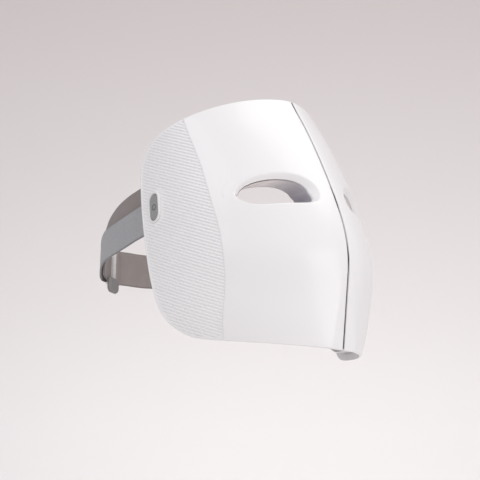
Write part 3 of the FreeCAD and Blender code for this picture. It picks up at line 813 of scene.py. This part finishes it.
def make_button():
    spot = button_spot()
    rim = (
        (8.1, -2.6), (8.1, 0.1), (8, 0.4), (7.75, 0.62), (7.4, RIM_PROUD), (6.7, RIM_PROUD),
        (6.35, 0.62), (6.1, 0.4), (5.95, 0), (5.8, -0.5), (5.8, -2.6),
    )
    piece("button_rim", tube(slot_rings(rim, spot), capped=False), BODY,
          "button_rim", ["button_rim"])
    cap = (
        (5.4, -2.8), (5.4, -0.3), (5.3, -0.05), (5.05, 0.1), (4.6, 0.16), (3.6, 0.1), (2.4, 0.02),
        (1, -0.02),
    )
    piece("power_button", tube(slot_rings(cap, spot)), "power_button",
          "button", ["power_button"])
    mark = ((2.7, -0.1), (2.7, 0.16), (2.55, 0.2), (2.05, 0.2), (1.9, 0.16), (1.9, -0.1))
    rings = []
    for a in circle(40):
        rings.append([
            (spot[0] - out, spot[1] + radius * cos(a), spot[2] + radius * sin(a))
            for radius, out in mark
        ])
    piece("button_mark", tube(rings, capped=False), "power_button",
          "mark", ["button_mark"])


# ---- rim wall and liner
RIM_MIDDLE, RIM_REACH = -15.0, 120.0     # height the rim's angles turn about, and their reach


def fan(rho, angles):
    """Half-section shares and heights at distances rho along a fan of angles."""
    return np.clip(rho * np.cos(angles), 0, 1), RIM_MIDDLE + RIM_REACH * rho * np.sin(angles)


def rim_reach(inset, front, side, angles):
    """How far along the fan the rim's outline, moved in, meets the form at a depth."""
    def within(rho):
        u, z = fan(rho, angles)
        inside = rim_y(z, inset, WALL_CURVE) > surface(u, np.clip(z, LOWEST, HIGHEST), front, side)[1]
        return inside & (z > -126) & (z < 105)

    return bisect(0.0, 1.7, within, rounds=36)[0]


def both_halves(shape):
    return join([shape, mirrored(shape)])


def make_rim_and_liner():
    angles = np.linspace(-pi / 2, pi / 2, 301)
    wall = (
        (0.9, 2.5, 2.5), (0.7, 3.6, 3.3), (0.6, 7, 5.5), (0.7, 14, 9.3), (1.2, 17.6, 11.2),
        (2, 17.8, 11.3), (3.2, 17, 10.6), (3.2, 3, 2.8),
    )
    loops = []
    for inset, front, side in wall:
        loops.append(form_points(*fan(rim_reach(inset, front, side, angles), angles), front, side))
    rim = tube(np.array(loops).transpose(1, 0, 2), capped=False)
    piece("rim_frame", both_halves(rim), BODY, "frame", ["rim_frame"], merge=0.02)
    shares = np.concatenate([np.linspace(0.0, 0.96, 74), [0.975, 0.988, 0.996, 1.0]])
    grids = []
    for front, side in (LINER_LOW, LINER_TOP):
        reach = rim_reach(LINER_INSET, front, side, angles)
        rows = [form_points(*fan(share * reach, angles), front, side) for share in shares]
        grids.append(np.array(rows))
    liner = piece("face_liner", both_halves(closed_sheet(*grids)), BODY, "liner",
                  ["face_liner"], merge=0.02, sharp=40)
    hole = eye_wall(LINER_EYE)
    carve(liner, [hole, mirrored(hole)], 40)


# ---- head strap
LOOP_Y, LOOP_HALF, LOOP_DEEP, LOOP_FULLNESS = 98.0, 77.9, 175.0, 2.5
PIVOT_Y, PIVOT_Z = 104.0, 18.0
STRAP_THICK, STRAP_STEP = 1.8, 1.2
UP = np.array((0, 0, 1.0))
FAR_WIDE, TAB_WIDE = 34.0, 15.0
STITCH_LONG = 2.0
STITCH_ROWS = np.arange(-12.6, 12.7, 2.8)       # heights of a row's stitches on the near strap
FAR_STITCH_ROWS = np.arange(-14.0, 14.1, 2.8)
RING_ANGLE, RING_SPAN, PEEL_ANGLE = 72.0, 6.0, 67.5     # degrees round the loop from its right end
RING_Z, FOLD_Z = -10.0, -11.5
BAR_OUT, TAIL_OUT = 2.9, 2.4
SOFTEN = ((-4, 0.1), (-2.6, 0.2), (-1, 0.2), (1, 0.2), (2.6, 0.2), (4, 0.1))
# Stations of each strap: degrees round the loop, distance out of it, height.
MAIN_ROUTE = (
    (0, 0, 18.5), (8, 0, 17.2), (13, 0, 16.2), (19, 0, 14.4), (27, 0, 11.5), (35, 0, 6.6),
    (41, 0, 1.2), (46, 0, -4), (53, 0, -9), (62, 0, -11), (RING_ANGLE, 0, FOLD_Z),
)
TAIL_ROUTE = (
    (6.5, TAIL_OUT, -0.5), (11, TAIL_OUT, -1.6), (19, TAIL_OUT, -4.4), (26, TAIL_OUT, -5.6),
    (34, TAIL_OUT, -5.8), (42, TAIL_OUT, -5.2), (50, TAIL_OUT, -7.5), (56, TAIL_OUT + 0.3, -10),
    (62, 3.9, FOLD_Z), (PEEL_ANGLE - 0.4, 2 * BAR_OUT - 0.5, FOLD_Z),
)
FAR_ROUTE = (
    (RING_ANGLE + RING_SPAN + 1.2, BAR_OUT, RING_Z), (87, 2.2, -8.6), (98, 1.2, -8.4),
    (113, 0.5, -6.5), (130, 0, -1), (148, 0, 7), (164, 0, 14), (174, 0, 17.4), (180, 0, 18.5),
)
TAB_ROUTE = ((66, -2, -30), (73, -2, -30), (80, -2, -30))


def loop_points(angles, out):
    """Plan points on the strap loop at angles in degrees, moved outwards, and the way out."""
    turn = np.radians(np.clip(angles, 0, 180))
    power = 2 / LOOP_FULLNESS

    def plan(a):
        deep = LOOP_DEEP * np.abs(np.sin(a)) ** power
        return np.stack([-LOOP_HALF * squared(np.cos(a), power), LOOP_Y + deep], axis=-1)

    ahead, behind = np.clip(turn + 0.009, 0, pi), np.clip(turn - 0.009, 0, pi)
    run = plan(ahead) - plan(behind)
    run /= np.hypot(run[..., 0], run[..., 1])[..., None]
    normal = np.stack([-run[..., 1], run[..., 0]], axis=-1)
    return plan(turn) + normal * np.asarray(out)[..., None], normal


def route(stations):
    """Centres and outward directions along a strap, softened between its stations."""
    table = np.array(stations, float)
    angles = np.linspace(table[0, 0], table[-1, 0], 900)
    out = z = 0.0
    for shift, weight in SOFTEN:
        out = out + weight * np.interp(angles + shift, table[:, 0], table[:, 1])
        z = z + weight * np.interp(angles + shift, table[:, 0], table[:, 2])
    points, normal = loop_points(angles, out)
    return np.column_stack([points, z]), np.column_stack([normal, 0 * z])


def along(values, run, at):
    """Rows of values interpolated at distances along their run."""
    return np.stack([np.interp(at, run, column) for column in values.T], axis=-1)


def evenly(centres, ways):
    """The same path in even steps, with the distance run at each."""
    run = distances(centres)
    even = np.linspace(0, run[-1], max(8, int(run[-1] / STRAP_STEP)))
    even = np.concatenate([[0, 0.25, 0.6], even[1:-1], [run[-1] - 0.6, run[-1] - 0.25, run[-1]]])
    even.sort()
    ways = along(ways, run, even)
    return along(centres, run, even), ways / np.linalg.norm(ways, axis=1)[:, None], even


def strap_section(wide):
    """(height, depth) round a strap's cross-section, with thicker selvedges."""
    face = np.linspace(wide / 2 - 0.6, -wide / 2 + 0.6, 22)
    bulge = 0.16 * np.exp(-(((np.abs(face) - wide / 2 + 1.5) / 0.7) ** 2))
    half = STRAP_THICK / 2 - 0.12
    outer = [(h, half + b) for h, b in zip(face, bulge)]
    low = [(-wide / 2 + 0.6 - 0.6 * cos(a), half * sin(a)) for a in (0.9, 0.0, -0.9)]
    inner = [(h, -t) for h, t in reversed(outer)]
    high = [(-h, -t) for h, t in low]
    return np.array(outer + low + inner + high)


def strap_shape(centres, ways, wide, corner=0.0):
    """A strap with soft ends, and weave coordinates in millimetres; corner rounds its ends."""
    centres, ways, run = evenly(centres, ways)
    section = strap_section(wide)
    total = run[-1]
    rings, uv = [], []
    for centre, way, at in zip(centres, ways, run):
        edge = min(at, total - at)
        thin = 0.55 + 0.45 * min(1.0, edge / 0.6)       # pressed together at the very end
        narrow = 1.0
        if corner and edge < corner:
            narrow = 1 - (corner - sqrt(corner ** 2 - (corner - edge) ** 2)) * 2 / wide
        ripple = 0.07 * sin(at / 9.0) + 0.05 * sin(at / 3.7 + 1.0)
        ring = []
        for height, depth in section:
            ring.append(centre + way * (depth * thin + ripple) + np.array((0, 0, height * narrow)))
            uv.append((at, height * narrow))
        rings.append(ring)
    return tube(rings), uv, total


def stitches(centres, ways, places, heights, lift):
    """Upright thread stitches lying on a strap face, as small swollen stubs."""
    centres, ways, run = evenly(centres, ways)
    shapes = []
    for at in places:
        centre, way = along(centres, run, at), along(ways, run, at)
        ahead = np.cross(way, UP)
        for height in heights:
            place = centre + UP * height + way * lift
            rings = []
            for share, size in ((-0.5, 0.35), (-0.36, 0.85), (0.0, 1.0), (0.36, 0.85), (0.5, 0.35)):
                middle = place + UP * share * STITCH_LONG - way * 0.16 * (2 * share) ** 2
                rings.append([
                    middle + ahead * 0.32 * size * cos(a) + way * 0.2 * size * sin(a)
                    for a in circle(8)
                ])
            shapes.append(tube(rings))
    return join(shapes)


def fold_route():
    """The near strap: along the loop, round the ring's bar and back as a short stub."""
    centres, ways = route(MAIN_ROUTE)
    plan, normal = loop_points([RING_ANGLE], BAR_OUT)
    bar = np.array((*plan[0], FOLD_Z))
    out = np.array((*normal[0], 0.0))
    ahead = np.array((normal[0][1], -normal[0][0], 0.0))
    path, faces = list(centres), list(ways)
    for k in range(1, 25):
        a = pi * k / 24
        round_bar = ahead * sin(a) - out * cos(a)
        path.append(bar + BAR_OUT * round_bar)
        faces.append(-round_bar)
    back, away = route(((PEEL_ANGLE + 0.6, 2 * BAR_OUT - 0.2, FOLD_Z), (RING_ANGLE, 2 * BAR_OUT, FOLD_Z)))
    path += list(back[::-1])
    faces += list(-away[::-1])
    return np.array(path), np.array(faces)


def band(name, path, wide, body, material, corner=0.0):
    """A strap piece along a path, and its length."""
    shape, uv, long = strap_shape(*path, wide, corner)
    return piece(name, shape, body, material, [name], sharp=60, uv=uv), long


def make_straps():
    low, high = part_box("strap_tail")
    wide = min(30.0, (high.z - low.z) / MM)
    near, long = band("strap_right", fold_route(), wide, "strap_loop", "strap")
    path = route(TAIL_ROUTE)
    tail, tail_long = band("strap_tail", path, wide, "strap_end", "loop_side", 2.5)
    rows = stitches(*path, (3.0, tail_long - 2.5), STITCH_ROWS, 0.85)
    tail_thread = piece("strap_tail_thread", rows, "strap_end", "thread")
    path = route(FAR_ROUTE)
    far, far_long = band("strap_left", path, FAR_WIDE, "strap_loop", "far_strap_painted_light")
    places = (5.0, 7.5, far_long - 16, far_long - 30)
    threads = [stitches(*path, places, FAR_STITCH_ROWS, lift) for lift in (0.8, -0.8)]
    path = route(MAIN_ROUTE)
    threads += [stitches(*path, (9.0, 27.0), STITCH_ROWS, lift) for lift in (0.8, -0.8)]
    thread = piece("strap_thread", join(threads), "strap_loop", "thread")
    tab, tab_long = band("strap_tab", route(TAB_ROUTE), TAB_WIDE, "strap_loop", "tab", 6.0)


def squared(value, power):
    """Push a sine or cosine outwards, so that a circle turns into a rounded square."""
    return np.sign(value) * np.abs(value) ** power


def make_ring():
    """The wire ring between the straps, with the sleeve that grips the far strap's end."""
    ends, _ = loop_points([RING_ANGLE, RING_ANGLE + RING_SPAN], BAR_OUT)
    first = np.array((*ends[0], RING_Z))
    ahead = np.array((*(ends[1] - ends[0]), 0.0))
    span = np.linalg.norm(ahead)
    ahead /= span
    out = np.cross(UP, ahead)
    low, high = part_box("strap_ring")
    half = (high.z - low.z) / MM / 2 - 1.2
    corner, wire = 2.6, 1.2
    path = []
    for turn, middle in (
        (0.0, (span - corner, half - corner)), (0.5, (corner, half - corner)),
        (1.0, (corner, -half + corner)), (1.5, (span - corner, -half + corner)),
    ):
        for k in range(9):
            a = pi * (turn + 0.5 * k / 8)
            path.append((middle[0] + corner * cos(a), middle[1] + corner * sin(a), a))
    rings = []
    for x, z, a in path:
        side = ahead * cos(a) + UP * sin(a)
        rings.append([
            first + ahead * x + UP * z + wire * (side * cos(b) + out * sin(b))
            for b in circle(14)
        ])
    piece("strap_ring", tube(rings, capped=False), "strap_loop", "ring",
          ["strap_ring"], sharp=50)
    last = first + ahead * span
    profile = [(squared(cos(a), 0.6) * 2.9, squared(sin(a), 0.6) * 2.1) for a in circle(28)]
    ends = ((-16.6, 0.8), (-16.45, 0.92), (-16.0, 1.0), (16.0, 1.0), (16.45, 0.92), (16.6, 0.8))
    rings = []
    for height, size in ends:
        rings.append([last + ahead * x * size + out * y * size + UP * height for x, y in profile])
    piece("strap_sleeve", tube(rings), "strap_loop", "sleeve", sharp=50)


def turned(profile, centre, way, count=40):
    """A turned solid from (radius, distance along the way) pairs."""
    way = Vector(way)
    side = way.orthogonal().normalized()
    other = way.cross(side)
    rings = []
    for radius, reach in profile:
        rings.append([
            Vector(centre) + way * reach + (side * cos(a) + other * sin(a)) * radius
            for a in circle(count)
        ])
    return tube(rings)


def make_anchors():
    outer = LOOP_HALF + STRAP_THICK / 2
    for word, side in SIDES:
        node = "strap_anchor_" + word
        low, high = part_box(node)
        radius, thick = (high.z - low.z) / MM / 2, (high.x - low.x) / MM
        centre = (side * outer, PIVOT_Y, PIVOT_Z)
        plate = (
            (2.05, thick), (2.05, 0), (radius - 0.4, 0), (radius - 0.1, 0.12), (radius, 0.4),
            (radius, thick - 0.4), (radius - 0.1, thick - 0.12), (radius - 0.4, thick),
            (5.2, thick), (5, thick - 0.2), (4.6, thick - 0.2), (4.4, thick),
        )
        verts, _ = turned(plate, centre, (side, 0, 0))
        rings = verts.reshape(len(plate), -1, 3)
        piece(node, tube(rings, capped=False), "strap_loop", "frame", [node], sharp=40)
        low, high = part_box("anchor_pin_" + word)
        long = (high.x - low.x) / MM
        pin = (
            (1.3, 0), (1.8, 0.1), (1.98, 0.35), (1.98, long - 0.4), (1.8, long - 0.12),
            (1.4, long), (0.6, long - 0.1),
        )
        piece("anchor_pin_" + word, turned(pin, centre, (side, 0, 0)), BODY, "pin",
              ["anchor_pin_" + word], sharp=40)


# ---- pads and lenses
PAD_TALL = 3.9
PAD_PROFILE = (
    (0.004, 1), (0.3, 0.99), (0.55, 0.97), (0.75, 0.92), (0.87, 0.82), (0.94, 0.68),
    (0.98, 0.5), (1, 0.28), (1, 0.1), (0.985, 0.03), (0.9, 0), (0.5, 0), (0.004, 0),
)


def pad_shape(middle, half, side=0):
    """A soft pad on the liner: over x and z of the face (side 0), or y and z of a wing."""
    turns = np.linspace(0, 2 * pi, 97)[:-1]
    loops = []
    for reach, height in PAD_PROFILE:
        across = middle[0] + half[0] * (squared(np.cos(turns), 0.5) * reach)
        z = middle[1] + half[1] * (squared(np.sin(turns), 0.5) * reach)
        front = LINER_LOW[0] + 0.05 + height * PAD_TALL
        deep = LINER_LOW[1] + 0.05 + 0.75 * (height * PAD_TALL)
        if side:
            loops.append(wing_points(across, z, front, deep) * (side, 1, 1))
        else:
            loops.append(front_points(across, z, front, deep))
    return tube(loops)


def make_pads():
    pads = [("forehead_pad", ((0, 63.0), (33.5, 12.6))), ("nose_pad", ((0, 1.0), (8.7, 12.6)))]
    for word, side in SIDES:
        pads.append(("temple_pad_" + word, ((77.0, 17.0), (14.6, 16.5), side)))
    for node, place in pads:
        pad = piece(node, pad_shape(*place), BODY, "pad", [node], merge=0.01, sharp=60)


def lens_shape(u, z, sign):
    """A low clear dome on the liner's inner face."""
    x, y = surface(u, z, *LINER_LOW)
    x2, y2 = surface(u + 0.01, z, *LINER_LOW)
    run = Vector((float(x2 - x), float(y2 - y), 0)).normalized()
    inward = Vector((-run.y, run.x, 0))
    profile = ((2.3, -0.1), (2.3, 0.12), (2.0, 0.3), (1.75, 0.32), (1.5, 0.5), (0.9, 0.75), (0.3, 0.84))
    return sided(turned(profile, (float(x), float(y), float(z)), inward, count=20), sign)


def make_lenses():
    cheek = ((-104, -88, -72, -56, -40), (0.16, 0.27, 0.38, 0.48))
    zones = (
        ("lenses_forehead", (34, 48, 76), (0.08, 0.19, 0.3, 0.41), (1, -1)),
        ("lenses_cheek_right", *cheek, (-1,)),
        ("lenses_cheek_left", *cheek, (1,)),
    )
    for name, heights, shares, signs in zones:
        domes = []
        for z in heights:
            for u in shares:
                under_pad = z == 76 and u < 0.35
                if not under_pad:
                    domes += [lens_shape(u, float(z), sign) for sign in signs]
        piece(name, join(domes), BODY, "lens", sharp=50)


# ---- carried-over CAD nodes
KEPT = (
    ("led_board_", "board"), ("leds_", "lamp"), ("main_board", "board"), ("board_chips", "chip"),
    ("battery_tray", "frame"), ("battery", "cell"), ("usb_socket", "socket"), ("buzzer", "chip"),
    ("wear_sensor", "sensor"), ("button_stem", "button"), ("tact_switch", "chip"),
    ("button_board", "board"), ("seam_gasket", "gasket"),
)


def finish_kept_nodes():
    for name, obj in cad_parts.items():
        if obj.hide_render:
            continue
        key = next(key for start, key in KEPT if name.startswith(start))
        if not obj.material_slots:
            obj.data.materials.append(MATERIALS[key])
        for place in obj.material_slots:
            place.material = MATERIALS[key]


# ---- floor, light
def make_stage():
    floor_z, wall_y, turn = -0.62, 2.6, 0.9
    profile = [(-3.2, floor_z), (wall_y - turn, floor_z)]
    for k in range(1, 17):
        a = pi / 2 * k / 16
        profile.append((wall_y - turn + turn * sin(a), floor_z + turn - turn * cos(a)))
    profile.append((wall_y, 3.4))
    heading = Matrix.Rotation(AZIMUTH, 4, "Z")
    verts = [heading @ Vector((across, along, z)) for along, z in profile for across in (-3.4, 3.4)]
    mesh = bpy.data.meshes.new("backdrop")
    mesh.from_pydata(verts, [], grid_faces(len(profile), 2))
    mesh.shade_smooth()
    backdrop = add_object("backdrop", mesh)
    m = Nodes("backdrop")
    m.set(Roughness=0.9)
    # painted light falloff: the backdrop is painted light low down and darker higher up
    rise = m.spread(m.axes()["Z"], 0.0, 1.0, start=0.1, end=1.4)
    m.color(rise, (0.0, (0.87, 0.85, 0.845)), (1.0, (0.73, 0.675, 0.67)))
    mesh.materials.append(m.material)


def area_light(name, place, aim, size, power, color):
    data = bpy.data.lights.new(name, "AREA")
    data.shape = "RECTANGLE"
    data.size, data.size_y = size
    data.energy = power
    data.color = color
    light = add_object(name, data)
    light.location = place
    light.rotation_euler = (Vector(aim) - Vector(place)).to_track_quat("-Z", "Y").to_euler()


def make_lights():
    area_light("key", (-0.15, -2.3, 0.25), (0, 0, -0.04), (1.6, 1.4), 15.5, (1, 0.995, 0.99))
    area_light("top", (0.5, -0.6, 2.3), (0, 0, 0), (1.8, 1.8), 21, (1, 0.985, 0.965))
    area_light("left", (-1.9, 0.4, 1.5), (0, 0, -0.02), (1.6, 1.6), 12, (0.97, 0.98, 1))
    area_light("wall", (0.9, 1.1, -0.52), (1.75, 1.95, 0.1), (1.6, 0.6), 8, (1, 0.98, 0.985))
    world = bpy.data.worlds.new("room")
    bpy.context.scene.world = world
    world.use_nodes = True
    background = world.node_tree.nodes["Background"]
    background.inputs["Color"].default_value = (0.855, 0.842, 0.86, 1)
    background.inputs["Strength"].default_value = 0.67
    bpy.context.scene.view_settings.view_transform = "Standard"


def main():
    make_camera()
    make_materials()
    make_shells()
    make_eyes()
    make_panels(button_spot())
    make_button()
    make_rim_and_liner()
    make_straps()
    make_ring()
    make_anchors()
    make_pads()
    make_lenses()
    finish_kept_nodes()
    make_stage()
    make_lights()


main()
